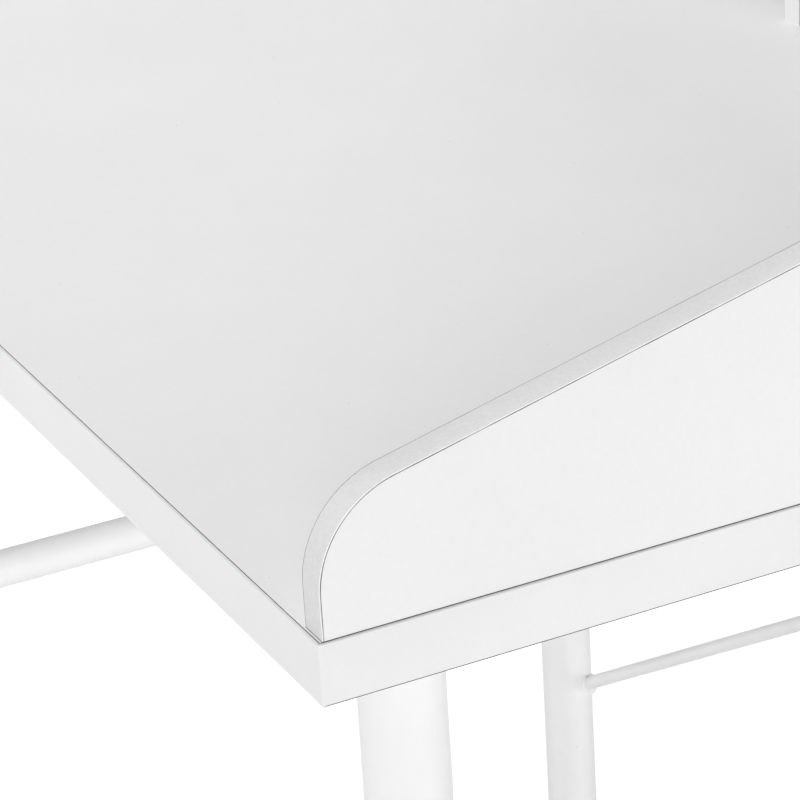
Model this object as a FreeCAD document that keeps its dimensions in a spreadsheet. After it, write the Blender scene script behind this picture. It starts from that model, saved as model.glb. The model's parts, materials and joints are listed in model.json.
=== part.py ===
"""White computer desk: laminated boards with sloping side panels and a rear shelf, on a round tube frame."""
import FreeCAD, Part
import os
import re
import Sketcher

# Driving sizes in millimetres, and the panel slope in degrees
SIZES = {
    # Desktop board and its edge bands
    "desk_width": 840,
    "desk_depth": 560,
    "desk_height": 750,
    "top_thickness": 22,
    "top_band_thickness": 1,
    "top_band_round": 0.6,
    # Side panels: where the slope meets the front face, its angle and the rounded corners
    "panel_thickness": 12,
    "panel_side_setback": 1,
    "panel_end_setback": 2,
    "panel_front_height": 43.5,
    "panel_slope": 13.3,
    "panel_front_round": 36,
    "panel_rear_round": 6,
    # Edge bands of the upper boards
    "band_thickness": 0.5,
    "band_round": 0.25,
    # Back panel, shelf and divider
    "back_thickness": 12,
    "back_drop": 3,
    "shelf_thickness": 12,
    "shelf_height": 140,
    "shelf_depth": 112,
    "divider_thickness": 12,
    "divider_setback": 8,
    # Legs and their top plates
    "leg_inset": 51,
    "leg_diameter": 30,
    "leg_wall": 1.5,
    "plate_side": 64,
    "plate_thickness": 3,
    "plate_round": 8,
    "plate_hole_spacing": 46,
    # Side stretchers, their end plugs and bolts
    "stretcher_height": 391,
    "stretcher_diameter": 21,
    "stretcher_wall": 1.2,
    "plug_length": 25,
    "plug_setback": 1.5,
    "bolt_diameter": 6,
    "bolt_head_diameter": 11,
    "bolt_head_height": 3.3,
    # Rear cross brace of two rods, and the welds at the legs
    "brace_diameter": 8.3,
    "brace_low_height": 206.2,
    "brace_top_drop": 60.8,
    "brace_rear_offset": 8,
    "weld_diameter": 15,
    "weld_proud": 3,
    "weld_sink": 4,
    # Wood screws, dowels and cam fittings
    "plate_screw_diameter": 4,
    "plate_screw_depth": 14,
    "plate_screw_head": 8,
    "plate_screw_crown": 5,
    "plate_screw_head_height": 2.4,
    "panel_screw_diameter": 4,
    "panel_screw_depth": 24,
    "panel_screw_head": 8,
    "panel_screw_head_height": 2.4,
    "panel_screw_inset": 60,
    "back_screw_spacing": 260,
    "dowel_diameter": 6,
    "dowel_length": 24,
    "dowel_seat": 8,
    "dowel_inset": 150,
    "cam_diameter": 12,
    "cam_depth": 9,
    "cam_setback": 24,
    "cam_inset": 30,
    "cam_bolt_diameter": 5,
    "cam_bolt_seat": 8,
    # Levelling feet: insert in the leg, threaded stem with a hexagon, and pad
    "insert_flange": 3,
    "insert_length": 20,
    "stem_diameter": 8,
    "stem_engagement": 19,
    "stem_disc_diameter": 16,
    "hexagon_height": 5,
    "hexagon_radius": 7.5,
    "pad_diameter": 32,
    "pad_height": 8,
    "pad_rim": 3,
    "pad_top_diameter": 24,
    "pad_recess": 4,
    # Clearances: foot below its stop, thread in its insert, and every fixed piece in its hole
    "foot_gap": 0.3,
    "thread_gap": 0.08,
    "fit_gap": 0.05,
    "end_gap": 0.5,
}

# Places that several pieces share, worked out from the sizes
UNDERSIDE = "(desk_height - top_thickness)"
LEG_X = "(desk_width / 2 - leg_inset)"
LEG_Y = "(desk_depth / 2 - leg_inset)"
LEG_BOTTOM = "(pad_height + hexagon_height + foot_gap + insert_flange)"
LEG_TOP = f"({UNDERSIDE} - plate_thickness)"
PANEL_LENGTH = "(desk_depth - 2 * panel_end_setback)"
PANEL_FRONT = "(panel_end_setback - desk_depth / 2)"
PANEL_REAR = "(desk_depth / 2 - panel_end_setback)"
PANEL_OUTSIDE = "(desk_width / 2 - panel_side_setback)"
PANEL_INSIDE = f"({PANEL_OUTSIDE} - panel_thickness)"
PANEL_MIDDLE = f"({PANEL_OUTSIDE} - panel_thickness / 2)"
BACK_FRONT = f"({PANEL_REAR} - back_thickness)"
BACK_MIDDLE = f"({PANEL_REAR} - back_thickness / 2)"
BACK_HEIGHT = f"(panel_front_height + ({PANEL_LENGTH} - back_thickness) * tan(panel_slope) - back_drop)"
SHELF_FRONT = f"({BACK_FRONT} - shelf_depth)"
SHELF_BOTTOM = "(desk_height + shelf_height - shelf_thickness)"
SHELF_MIDDLE = "(desk_height + shelf_height - shelf_thickness / 2)"
DIVIDER_FRONT = f"({SHELF_FRONT} + divider_setback)"
DIVIDER_HEIGHT = "(shelf_height - shelf_thickness)"
DIVIDER_MIDDLE = f"(({DIVIDER_FRONT} + {BACK_FRONT}) / 2)"
BRACE_HIGH = f"({UNDERSIDE} - brace_top_drop)"
BRACE_RISE = f"({BRACE_HIGH} - brace_low_height)"
BRACE_RUN = f"(2 * {LEG_X})"
BRACE_LENGTH = f"sqrt({BRACE_RISE}^2 + {BRACE_RUN}^2)"
BRACE_TILT = f"atan({BRACE_RISE} / {BRACE_RUN})"

# Turns that lay a piece's own upward axis along another direction
UPRIGHT = FreeCAD.Rotation()
UPSIDE_DOWN = FreeCAD.Rotation(FreeCAD.Vector(1, 0, 0), 180)
ALONG_X = FreeCAD.Rotation(FreeCAD.Vector(0, 1, 0), 90)
AGAINST_X = FreeCAD.Rotation(FreeCAD.Vector(0, 1, 0), -90)
ALONG_Y = FreeCAD.Rotation(FreeCAD.Vector(1, 0, 0), -90)
AGAINST_Y = FreeCAD.Rotation(FreeCAD.Vector(1, 0, 0), 90)

SIDES = (("left", -1), ("right", 1))
ENDS = (("front", -1), ("rear", 1))

doc = FreeCAD.newDocument("ComputerDesk")
sheet = doc.addObject("Spreadsheet::Sheet", "Sizes")
for row, (alias, value) in enumerate(SIZES.items(), 1):
    sheet.set(f"A{row}", alias)
    sheet.set(f"B{row}", str(value))
    sheet.setAlias(f"B{row}", alias)
doc.recompute()

nodes = {}


def cells(text):
    """Turns the size names in an expression into references to the sheet's cells."""
    def reference(word):
        return "Sizes." + word.group() if word.group() in SIZES else word.group()
    return re.sub("[a-z_]+", reference, str(text))


def bind(item, path, text):
    """Binds one property of an object to an expression of size names."""
    item.setExpression(path, cells(text))


def place(item, x, y, z, turn=UPRIGHT):
    """Turns an object and binds its position."""
    item.Placement = FreeCAD.Placement(FreeCAD.Vector(), turn)
    for axis, text in zip("xyz", (x, y, z)):
        bind(item, f"Placement.Base.{axis}", text)
    return item


def node(item, name, solids=1):
    """Names an object as a sub-part with this many separate solids."""
    item.Label = name
    nodes[name] = (item, solids)
    return item


def box(name, length, width, height, x, y, z):
    item = doc.addObject("Part::Box", name)
    bind(item, "Length", length)
    bind(item, "Width", width)
    bind(item, "Height", height)
    return place(item, x, y, z)


def cylinder(name, radius, height, x, y, z, turn=UPRIGHT):
    item = doc.addObject("Part::Cylinder", name)
    bind(item, "Radius", radius)
    bind(item, "Height", height)
    return place(item, x, y, z, turn)


def cone(name, start_radius, end_radius, height, x, y, z, turn=UPRIGHT):
    item = doc.addObject("Part::Cone", name)
    bind(item, "Radius1", start_radius)
    bind(item, "Radius2", end_radius)
    bind(item, "Height", height)
    return place(item, x, y, z, turn)


def group(name, members):
    """Holds several separate solids in one object."""
    item = doc.addObject("Part::Compound", name)
    item.Links = list(members)
    return item


def fuse(name, members):
    item = doc.addObject("Part::MultiFuse", name)
    item.Shapes = list(members)
    return item


def cut(name, base, tools):
    """Takes a list of tools away from a base."""
    item = doc.addObject("Part::Cut", name)
    item.Base = base
    item.Tool = tools[0] if len(tools) == 1 else group(name + "_tools", tools)
    return item


def polygon(body, plane_role, points):
    """Draws a closed outline on one of the body's own planes, each corner bound to its two distances."""
    plane = next(item for item in body.Origin.OriginFeatures if item.Role == plane_role)
    sketch = body.newObject("Sketcher::SketchObject", body.Name + "_outline")
    sketch.AttachmentSupport = [(plane, "")]
    sketch.MapMode = "FlatFace"
    count = len(points)
    corners = [FreeCAD.Vector(10 + 7 * index, 10 + 5 * index * index, 0) for index in range(count)]
    for index in range(count):
        sketch.addGeometry(Part.LineSegment(corners[index], corners[(index + 1) % count]), False)
    for index in range(count):
        sketch.addConstraint(Sketcher.Constraint("Coincident", index, 2, (index + 1) % count, 1))
    for index, corner in enumerate(points):
        for direction, axis_line, text in zip("XY", (-2, -1), corner):
            if text == "0":
                sketch.addConstraint(Sketcher.Constraint("PointOnObject", index, 1, axis_line))
                continue
            distance = sketch.addConstraint(
                Sketcher.Constraint("Distance" + direction, -1, 1, index, 1, 10 + index))
            sketch.renameConstraint(distance, f"corner{index}{direction}")
            bind(sketch, f"Constraints.corner{index}{direction}", text)
    return sketch


def pad(name, plane_role, points, length):
    """Makes a body by padding an outline, and gives the body with its pad."""
    body = doc.addObject("PartDesign::Body", name)
    sketch = polygon(body, plane_role, points)
    feature = body.newObject("PartDesign::Pad", name + "_pad")
    feature.Profile = sketch
    bind(feature, "Length", length)
    body.Tip = feature
    doc.recompute()
    return body, feature


def revolve(name, points):
    """Makes a body by turning an outline of radii and heights about the upright axis."""
    body = doc.addObject("PartDesign::Body", name)
    sketch = polygon(body, "XZ_Plane", points)
    feature = body.newObject("PartDesign::Revolution", name + "_turned")
    feature.Profile = sketch
    feature.ReferenceAxis = (sketch, ["V_Axis"])
    feature.Angle = 360
    body.Tip = feature
    return body


def fillet(body, base, radius, chosen):
    """Rounds the edges of the body's last feature that the test picks."""
    names = [f"Edge{index}" for index, edge in enumerate(base.Shape.Edges, 1) if chosen(edge.BoundBox)]
    feature = body.newObject("PartDesign::Fillet", base.Name + "_round")
    feature.Base = (base, names)
    bind(feature, "Radius", radius)
    body.Tip = feature
    doc.recompute()
    return feature


NEAR = 1e-4


def band(name, length, thickness, height, radius, round_ends):
    """An edge band, its outer face on its own XZ plane, rounded along that face's long edges or all four."""
    outline = [("0", "0"), (thickness, "0"), (thickness, height), ("0", height)]
    body, strip = pad(name, "YZ_Plane", outline, length)

    def on_outer_face(bounds):
        along = bounds.XLength > NEAR
        return bounds.YMax < NEAR and (round_ends or along)
    fillet(body, strip, radius, on_outer_face)
    return body


def sloped_board(name, inset):
    """A side panel's outline: upright front, rounded corner, slope up to the rear, drawn in by an inset."""
    slope_drop = f"({inset}) / cos(panel_slope)"
    front_top = f"panel_front_height + ({inset}) * tan(panel_slope) - {slope_drop}"
    rear_top = f"panel_front_height + ({PANEL_LENGTH} - ({inset})) * tan(panel_slope) - {slope_drop}"
    rear = f"{PANEL_LENGTH} - ({inset})"
    outline = [(inset, "0"), (inset, front_top), (rear, rear_top), (rear, "0")]
    body, board = pad(name, "YZ_Plane", outline, "panel_thickness")
    middle = board.Shape.BoundBox.Center

    def front_corner(bounds):
        return bounds.YLength + bounds.ZLength < NEAR and bounds.YMin < middle.y and bounds.ZMin > NEAR

    def rear_corner(bounds):
        return bounds.YLength + bounds.ZLength < NEAR and bounds.YMin > middle.y and bounds.ZMin > NEAR
    rounded = fillet(body, board, f"panel_front_round - ({inset})", front_corner)
    rounded = fillet(body, rounded, f"panel_rear_round - ({inset})", rear_corner)
    return body, rounded


def screw(name, kind, length, x, y, z, turn=UPRIGHT, countersunk=True, growth="0"):
    """A wood screw driven along its own upward axis from its head; growth makes it the tool for its hole."""
    radius = f"{kind}_diameter / 2 + {growth}"
    head = f"{kind}_head / 2 + {growth}"
    shank = cylinder(name + "_shank", radius, length, x, y, z, turn)
    if countersunk:
        cap = cone(name + "_head", head, radius, f"{kind}_head_height", x, y, z, turn)
    else:
        cap = cone(name + "_head", head, f"{kind}_crown / 2", f"{kind}_head_height", x, y, z, UPSIDE_DOWN)
    return fuse(name, [shank, cap])


# Plate screws: four go up through each leg plate into the desktop
plate_screws = []
desktop_tools = []
plate_holes = {}
corners = [(end, side, f"{side_sign} * {LEG_X}", f"{end_sign} * {LEG_Y}")
           for end, end_sign in ENDS for side, side_sign in SIDES]
for end, side, leg_x, leg_y in corners:
    plate_holes[end, side] = []
    for step_x in (-1, 1):
        for step_y in (-1, 1):
            name = f"plate_screw_{end}_{side}_{len(plate_holes[end, side])}"
            x = f"{leg_x} + {step_x} * plate_hole_spacing / 2"
            y = f"{leg_y} + {step_y} * plate_hole_spacing / 2"
            length = "plate_thickness + plate_screw_depth"
            plate_screws.append(screw(name, "plate_screw", length, x, y, LEG_TOP, countersunk=False))
            hole_radius = "plate_screw_diameter / 2 + fit_gap"
            hole_length = f"{length} + end_gap"
            for tools, suffix in ((plate_holes[end, side], "_clear"), (desktop_tools, "_pilot")):
                tools.append(cylinder(name + suffix, hole_radius, hole_length, x, y, LEG_TOP))
node(group("plate_screws_group", plate_screws), "plate_screws", len(plate_screws))

# Panel screws and dowels: up through the desktop, and up out of it, into the boards that stand on it
panel_screws = []
dowels = []
panel_tools = {"left": [], "right": [], "back": [], "divider": [], "shelf": []}


def panel_screw(board, x, y):
    name = f"panel_screw_{len(panel_screws)}"
    length = "top_thickness + panel_screw_depth"
    panel_screws.append(screw(name, "panel_screw", length, x, y, UNDERSIDE))
    for tools, suffix in ((desktop_tools, "_desktop"), (panel_tools[board], "_board")):
        tools.append(screw(name + suffix, "panel_screw", length + " + end_gap",
                           x, y, UNDERSIDE, growth="fit_gap"))


def dowel(boards, x, y, z, turn=UPRIGHT):
    """A dowel across the joint of two boards, from its blind end in the first."""
    name = f"dowel_{len(dowels)}"
    dowels.append(cylinder(name, "dowel_diameter / 2", "dowel_length", x, y, z, turn))
    for tools, suffix in zip(boards, ("_first", "_second")):
        tools.append(cylinder(name + suffix, "dowel_diameter / 2 + fit_gap", "dowel_length + end_gap",
                              x, y, z, turn))


for side, sign in SIDES:
    x = f"{sign} * {PANEL_MIDDLE}"
    for y in (f"{PANEL_FRONT} + panel_screw_inset", "0", f"{PANEL_REAR} - panel_screw_inset"):
        panel_screw(side, x, y)
    for y in (f"{PANEL_FRONT} + dowel_inset", f"{PANEL_REAR} - dowel_inset"):
        dowel((desktop_tools, panel_tools[side]), x, y, "desk_height - dowel_length / 2")
for step in (-1, 0, 1):
    panel_screw("back", f"{step} * back_screw_spacing", BACK_MIDDLE)
for step in (-1, 1):
    dowel((desktop_tools, panel_tools["back"]),
          f"{step} * back_screw_spacing / 2", BACK_MIDDLE, "desk_height - dowel_length / 2")
panel_screw("divider", "0", DIVIDER_MIDDLE)
dowel((panel_tools["divider"], panel_tools["shelf"]),
      "0", DIVIDER_MIDDLE, f"{SHELF_BOTTOM} + dowel_seat - dowel_length")
for (side, sign), turn in zip(SIDES, (ALONG_X, AGAINST_X)):
    dowel((panel_tools[side], panel_tools["back"]),
          f"{sign} * ({PANEL_INSIDE} + dowel_seat)", BACK_MIDDLE, f"desk_height + {BACK_HEIGHT} / 2", turn)
node(group("panel_screws_group", panel_screws), "panel_screws", len(panel_screws))
node(group("dowels_group", dowels), "dowels", len(dowels))

# Back screws: forward through the back panel into the shelf's rear edge
back_screws = []
for step in (-1, 0, 1):
    name = f"back_screw_{step + 1}"
    place_of_screw = (f"{step} * back_screw_spacing", PANEL_REAR, SHELF_MIDDLE)
    length = "back_thickness + panel_screw_depth"
    back_screws.append(screw(name, "panel_screw", length, *place_of_screw, turn=AGAINST_Y))
    for board in ("back", "shelf"):
        panel_tools[board].append(screw(f"{name}_{board}", "panel_screw", length + " + end_gap",
                                        *place_of_screw, turn=AGAINST_Y, growth="fit_gap"))
node(group("back_screws_group", back_screws), "back_screws", len(back_screws))

# Cam fittings: a bolt in each side panel drawn into a cam that is let into the shelf's underside
cams = []
cam_bolts = []
for (side, sign), inward in zip(SIDES, (ALONG_X, AGAINST_X)):
    for end, y in (("front", f"{SHELF_FRONT} + cam_inset"), ("rear", f"{BACK_FRONT} - cam_inset")):
        name = f"cam_{side}_{end}"
        cam_x = f"{sign} * ({PANEL_INSIDE} - cam_setback)"
        bolt_start = f"{sign} * ({PANEL_INSIDE} + cam_bolt_seat)"
        bolt_length = "cam_bolt_seat + cam_setback"
        bore = "cam_bolt_diameter / 2 + fit_gap"
        cam_bolts.append(cylinder(name + "_bolt", "cam_bolt_diameter / 2", bolt_length,
                                  bolt_start, y, SHELF_MIDDLE, inward))
        blank = cylinder(name + "_blank", "cam_diameter / 2", "cam_depth", cam_x, y, SHELF_BOTTOM)
        bores = [cylinder(f"{name}_bore_{use}", bore, f"{bolt_length} + end_gap",
                          f"{sign} * ({PANEL_INSIDE} + cam_bolt_seat + end_gap / 2)", y, SHELF_MIDDLE, inward)
                 for use in ("cam", "shelf", "panel")]
        cams.append(cut(name, blank, bores[:1]))
        seat = cylinder(name + "_seat", "cam_diameter / 2 + fit_gap", "cam_depth + fit_gap",
                        cam_x, y, SHELF_BOTTOM)
        panel_tools["shelf"].append(fuse(name + "_pocket", [seat, bores[1]]))
        panel_tools[side].append(bores[2])
node(group("cams_group", cams), "shelf_cams", len(cams))
node(group("cam_bolts_group", cam_bolts), "shelf_cam_bolts", len(cam_bolts))

# Desktop: drilled core board and four edge bands, of which the front and rear cover the side bands' ends
CORE_WIDTH = "(desk_width - 2 * top_band_thickness)"
CORE_DEPTH = "(desk_depth - 2 * top_band_thickness)"
core = box("desktop_board", CORE_WIDTH, CORE_DEPTH, "top_thickness",
           f"-{CORE_WIDTH} / 2", f"-{CORE_DEPTH} / 2", UNDERSIDE)
node(cut("desktop_drilled", core, desktop_tools), "desktop")
for edge, length, x, y, angle, round_ends in (
        ("front", "desk_width", "-desk_width / 2", "-desk_depth / 2", 0, True),
        ("right", CORE_DEPTH, "desk_width / 2", f"-{CORE_DEPTH} / 2", 90, False),
        ("rear", "desk_width", "desk_width / 2", "desk_depth / 2", 180, True),
        ("left", CORE_DEPTH, "-desk_width / 2", f"{CORE_DEPTH} / 2", 270, False)):
    strip = band(f"top_band_{edge}", length, "top_band_thickness", "top_thickness",
                 "top_band_round", round_ends)
    place(strip, x, y, UNDERSIDE, FreeCAD.Rotation(FreeCAD.Vector(0, 0, 1), angle))
    node(strip, f"desktop_band_{edge}")

# Side panels: drilled core boards, each with one band bent round its front, slope and rear
for side, sign in SIDES:
    left_face = f"-{PANEL_OUTSIDE}" if side == "left" else PANEL_INSIDE
    core, _ = sloped_board(f"panel_{side}_core", "band_thickness")
    place(core, left_face, PANEL_FRONT, "desk_height")
    blank, blank_end = sloped_board(f"panel_{side}_blank", "0")
    fillet(blank, blank_end, "band_round", lambda bounds: bounds.XLength < NEAR and bounds.ZMax > NEAR)
    place(blank, left_face, PANEL_FRONT, "desk_height")
    node(cut(f"panel_{side}_drilled", core, panel_tools[side]), f"side_panel_{side}")
    node(cut(f"panel_{side}_band", blank, [core]), f"side_panel_band_{side}")

# Back panel with a band along its top
core = box("back_board", f"2 * {PANEL_INSIDE}", "back_thickness", f"{BACK_HEIGHT} - band_thickness",
           f"-{PANEL_INSIDE}", BACK_FRONT, "desk_height")
node(cut("back_drilled", core, panel_tools["back"]), "back_panel")
strip = band("back_band", f"2 * {PANEL_INSIDE}", "band_thickness", "back_thickness", "band_round", False)
place(strip, f"-{PANEL_INSIDE}", BACK_FRONT, f"desk_height + {BACK_HEIGHT}", ALONG_Y)
node(strip, "back_panel_band")

# Shelf with a band along its front
core = box("shelf_board", f"2 * {PANEL_INSIDE}", "shelf_depth - band_thickness", "shelf_thickness",
           f"-{PANEL_INSIDE}", f"{SHELF_FRONT} + band_thickness", SHELF_BOTTOM)
node(cut("shelf_drilled", core, panel_tools["shelf"]), "shelf")
strip = band("front_band_of_shelf", f"2 * {PANEL_INSIDE}", "band_thickness", "shelf_thickness",
             "band_round", False)
place(strip, f"-{PANEL_INSIDE}", SHELF_FRONT, SHELF_BOTTOM)
node(strip, "shelf_band")

# Divider under the shelf, its front band turned upright
divider_depth = f"{BACK_FRONT} - {DIVIDER_FRONT} - band_thickness"
core = box("divider_board", "divider_thickness", divider_depth, DIVIDER_HEIGHT,
           "-divider_thickness / 2", f"{DIVIDER_FRONT} + band_thickness", "desk_height")
node(cut("divider_drilled", core, panel_tools["divider"]), "divider")
strip = band("front_band_of_divider", DIVIDER_HEIGHT, "band_thickness", "divider_thickness",
             "band_round", False)
place(strip, "divider_thickness / 2", DIVIDER_FRONT, "desk_height", AGAINST_X)
node(strip, "divider_band")

# Legs, top plates, inserts and levelling feet
leg_solids = {}
for end, side, leg_x, leg_y in corners:
    at = f"{end}_{side}"
    leg_length = f"{LEG_TOP} - {LEG_BOTTOM}"
    outer = cylinder(f"leg_{at}_outer", "leg_diameter / 2", leg_length, leg_x, leg_y, LEG_BOTTOM)
    leg_solids[end, side] = outer
    bore = cylinder(f"leg_{at}_bore", "leg_diameter / 2 - leg_wall", leg_length, leg_x, leg_y, LEG_BOTTOM)
    bolt_hole = cylinder(f"leg_{at}_bolt_hole", "bolt_diameter / 2 + fit_gap", "leg_diameter + 2 * end_gap",
                         leg_x, f"{leg_y} - leg_diameter / 2 - end_gap", "stretcher_height", ALONG_Y)
    tube = cut(f"leg_{at}_tube", outer, [bore])
    node(cut(f"leg_{at}_drilled", tube, [bolt_hole]), f"leg_{at}")

    square = [("0", "0"), ("plate_side", "0"), ("plate_side", "plate_side"), ("0", "plate_side")]
    plate, plate_pad = pad(f"plate_{at}", "XY_Plane", square, "plate_thickness")
    fillet(plate, plate_pad, "plate_round", lambda bounds: bounds.XLength + bounds.YLength < NEAR)
    place(plate, f"{leg_x} - plate_side / 2", f"{leg_y} - plate_side / 2", LEG_TOP)
    node(cut(f"plate_{at}_drilled", plate, plate_holes[end, side]), f"leg_plate_{at}")

    thread = "stem_diameter / 2 + thread_gap"
    plug = "leg_diameter / 2 - leg_wall - fit_gap"
    flange = "leg_diameter / 2"
    insert = revolve(f"insert_{at}", [
        (thread, "0"), (flange, "0"), (flange, "insert_flange"), (plug, "insert_flange"),
        (plug, "insert_flange + insert_length"), (thread, "insert_flange + insert_length")])
    node(place(insert, leg_x, leg_y, f"{LEG_BOTTOM} - insert_flange"), f"foot_insert_{at}")

    recess = "stem_disc_diameter / 2 + fit_gap"
    foot = revolve(f"pad_{at}", [
        ("0", "0"), ("pad_diameter / 2", "0"), ("pad_diameter / 2", "pad_rim"),
        ("pad_top_diameter / 2", "pad_height"), (recess, "pad_height"),
        (recess, "pad_height - pad_recess"), ("0", "pad_height - pad_recess")])
    node(place(foot, leg_x, leg_y, "0"), f"foot_pad_{at}")

    disc = cylinder(f"stem_{at}_disc", "stem_disc_diameter / 2", "pad_recess",
                    leg_x, leg_y, "pad_height - pad_recess")
    hexagon = doc.addObject("Part::Prism", f"stem_{at}_hexagon")
    hexagon.Polygon = 6
    bind(hexagon, "Circumradius", "hexagon_radius")
    bind(hexagon, "Height", "hexagon_height")
    place(hexagon, leg_x, leg_y, "pad_height")
    rod = cylinder(f"stem_{at}_rod", "stem_diameter / 2", f"{LEG_BOTTOM} + stem_engagement - pad_height",
                   leg_x, leg_y, "pad_height")
    node(fuse(f"stem_{at}_whole", [disc, hexagon, rod]), f"foot_stem_{at}")

# Side stretchers: tubes with ends hollowed to the legs, plugged inside and bolted through the legs
plugs = []
bolts = []
for side, sign in SIDES:
    x = f"{sign} * {LEG_X}"
    bore_radius = "stretcher_diameter / 2 - stretcher_wall"
    outer = cylinder(f"stretcher_{side}_outer", "stretcher_diameter / 2", f"2 * {LEG_Y}",
                     x, f"-{LEG_Y}", "stretcher_height", ALONG_Y)
    bore = cylinder(f"stretcher_{side}_bore", bore_radius, f"2 * {LEG_Y}",
                    x, f"-{LEG_Y}", "stretcher_height", ALONG_Y)
    tube = cut(f"stretcher_{side}_tube", outer, [bore])
    ends = [cylinder(f"stretcher_{side}_{end}_saddle", "leg_diameter / 2 + fit_gap", "2 * stretcher_diameter",
                     x, f"{end_sign} * {LEG_Y}", "stretcher_height - stretcher_diameter")
            for end, end_sign in ENDS]
    node(cut(f"stretcher_{side}_whole", tube, ends), f"side_stretcher_{side}")
    for (end, end_sign), inward in zip(ENDS, (ALONG_Y, AGAINST_Y)):
        name = f"{end}_{side}"
        plug_face = f"{end_sign} * ({LEG_Y} - leg_diameter / 2 - plug_setback)"
        plug = cylinder(f"plug_{name}_blank", f"{bore_radius} - fit_gap", "plug_length",
                        x, plug_face, "stretcher_height", inward)
        thread = cylinder(f"plug_{name}_thread", "bolt_diameter / 2 + fit_gap", "plug_length",
                          x, plug_face, "stretcher_height", inward)
        plugs.append(cut(f"plug_{name}", plug, [thread]))
        head_face = f"{end_sign} * ({LEG_Y} + leg_diameter / 2 + bolt_head_height)"
        head = cylinder(f"bolt_{name}_head", "bolt_head_diameter / 2", "bolt_head_height",
                        x, head_face, "stretcher_height", inward)
        shank = cylinder(f"bolt_{name}_shank", "bolt_diameter / 2",
                         "bolt_head_height + leg_diameter + plug_setback + plug_length",
                         x, head_face, "stretcher_height", inward)
        bolts.append(fuse(f"bolt_{name}", [head, shank]))
node(group("plugs_group", plugs), "stretcher_plugs", len(plugs))
node(group("bolts_group", bolts), "stretcher_bolts", len(bolts))

# Rear cross brace: one rod passes behind the other, each end hollowed to the leg and ringed by a flared weld
LEANING = FreeCAD.Rotation(FreeCAD.Vector(0, 1, 0), 1)
rear_legs = [leg_solids["rear", "left"], leg_solids["rear", "right"]]
welds = []
for name, sign, behind in (("rising_right", 1, "brace_rear_offset"),
                           ("rising_left", -1, "brace_rear_offset - brace_diameter - fit_gap")):
    y = f"{LEG_Y} + {behind}"
    upward = f"{sign} * (90 deg - {BRACE_TILT})"
    downward = f"{-sign} * (90 deg + {BRACE_TILT})"
    blank = cylinder(f"rod_{name}_blank", "brace_diameter / 2", BRACE_LENGTH,
                     f"{-sign} * {LEG_X}", y, "brace_low_height", LEANING)
    bind(blank, "Placement.Rotation.Angle", upward)
    node(cut(f"rod_{name}", blank, rear_legs), f"brace_rod_{name}")
    leg_surface = f"sqrt((leg_diameter / 2)^2 - ({behind})^2)"
    weld_run = f"({leg_surface} - weld_sink * cos({BRACE_TILT}))"
    weld_rise = f"{weld_run} * tan({BRACE_TILT})"
    for at, height, leg_sign, rise_sign, turn in (("low", "brace_low_height", -sign, 1, upward),
                                                  ("high", BRACE_HIGH, sign, -1, downward)):
        flare = cone(f"weld_{name}_{at}_flare", "weld_diameter / 2", "brace_diameter / 2 + fit_gap",
                     "weld_sink + weld_proud", f"{leg_sign} * ({LEG_X} - {weld_run})", y,
                     f"{height} + {rise_sign} * {weld_rise}", LEANING)
        bind(flare, "Placement.Rotation.Angle", turn)
        seated = cut(f"weld_{name}_{at}_seated", flare, rear_legs)
        welds.append(cut(f"weld_{name}_{at}", seated, [blank]))
node(group("welds_group", welds), "brace_welds", len(welds))

doc.recompute()
for item in doc.Objects:
    if {"Invalid", "Error"} & set(item.State):
        raise RuntimeError(f"{item.Name} did not build: {item.State}")
for name, (item, solids) in nodes.items():
    shape = item.Shape
    if shape.isNull() or not shape.isValid():
        raise RuntimeError(f"{name} has no valid shape")
    if len(shape.Solids) != solids:
        raise RuntimeError(f"{name} has {len(shape.Solids)} solids instead of {solids}")

os.makedirs("parts", exist_ok=True)
for name, (item, _) in nodes.items():
    item.Shape.exportStep(f"parts/{name}.step")
print(len(nodes), "sub-parts written")
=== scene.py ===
"""White computer desk: bands, glue lines, tubes, fittings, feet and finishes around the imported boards."""
import json
import math

import bmesh
import bpy
from bpy.props import FloatProperty, FloatVectorProperty, PointerProperty
from mathutils import Matrix, Vector

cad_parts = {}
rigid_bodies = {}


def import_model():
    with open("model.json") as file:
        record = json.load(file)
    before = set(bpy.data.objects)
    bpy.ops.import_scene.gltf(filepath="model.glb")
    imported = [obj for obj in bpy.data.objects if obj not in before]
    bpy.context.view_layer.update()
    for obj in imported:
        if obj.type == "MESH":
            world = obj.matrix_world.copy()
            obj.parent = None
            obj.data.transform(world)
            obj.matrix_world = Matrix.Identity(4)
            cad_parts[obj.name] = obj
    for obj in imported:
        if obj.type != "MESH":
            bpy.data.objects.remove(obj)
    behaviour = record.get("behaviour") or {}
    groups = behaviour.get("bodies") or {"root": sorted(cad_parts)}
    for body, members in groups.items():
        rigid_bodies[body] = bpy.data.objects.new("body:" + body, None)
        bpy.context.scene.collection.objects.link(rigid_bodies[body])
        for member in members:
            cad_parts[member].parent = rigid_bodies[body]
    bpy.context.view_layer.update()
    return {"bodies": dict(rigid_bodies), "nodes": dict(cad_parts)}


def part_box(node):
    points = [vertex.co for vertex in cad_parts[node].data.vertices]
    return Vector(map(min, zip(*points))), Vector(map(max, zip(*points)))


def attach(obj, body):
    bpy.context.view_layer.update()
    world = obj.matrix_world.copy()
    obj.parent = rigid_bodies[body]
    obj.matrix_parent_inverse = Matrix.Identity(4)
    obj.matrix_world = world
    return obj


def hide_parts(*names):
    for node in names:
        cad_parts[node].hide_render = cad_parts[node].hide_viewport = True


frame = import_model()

bl_info = {
    "name": "White Computer Desk",
    "version": (1, 0, 0),
    "blender": (4, 5, 0),
    "location": "View3D > Sidebar > Desk",
    "description": "Dresses the packed desk with its bands, glue lines, tubes, fittings and finishes",
    "category": "Object",
}

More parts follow.
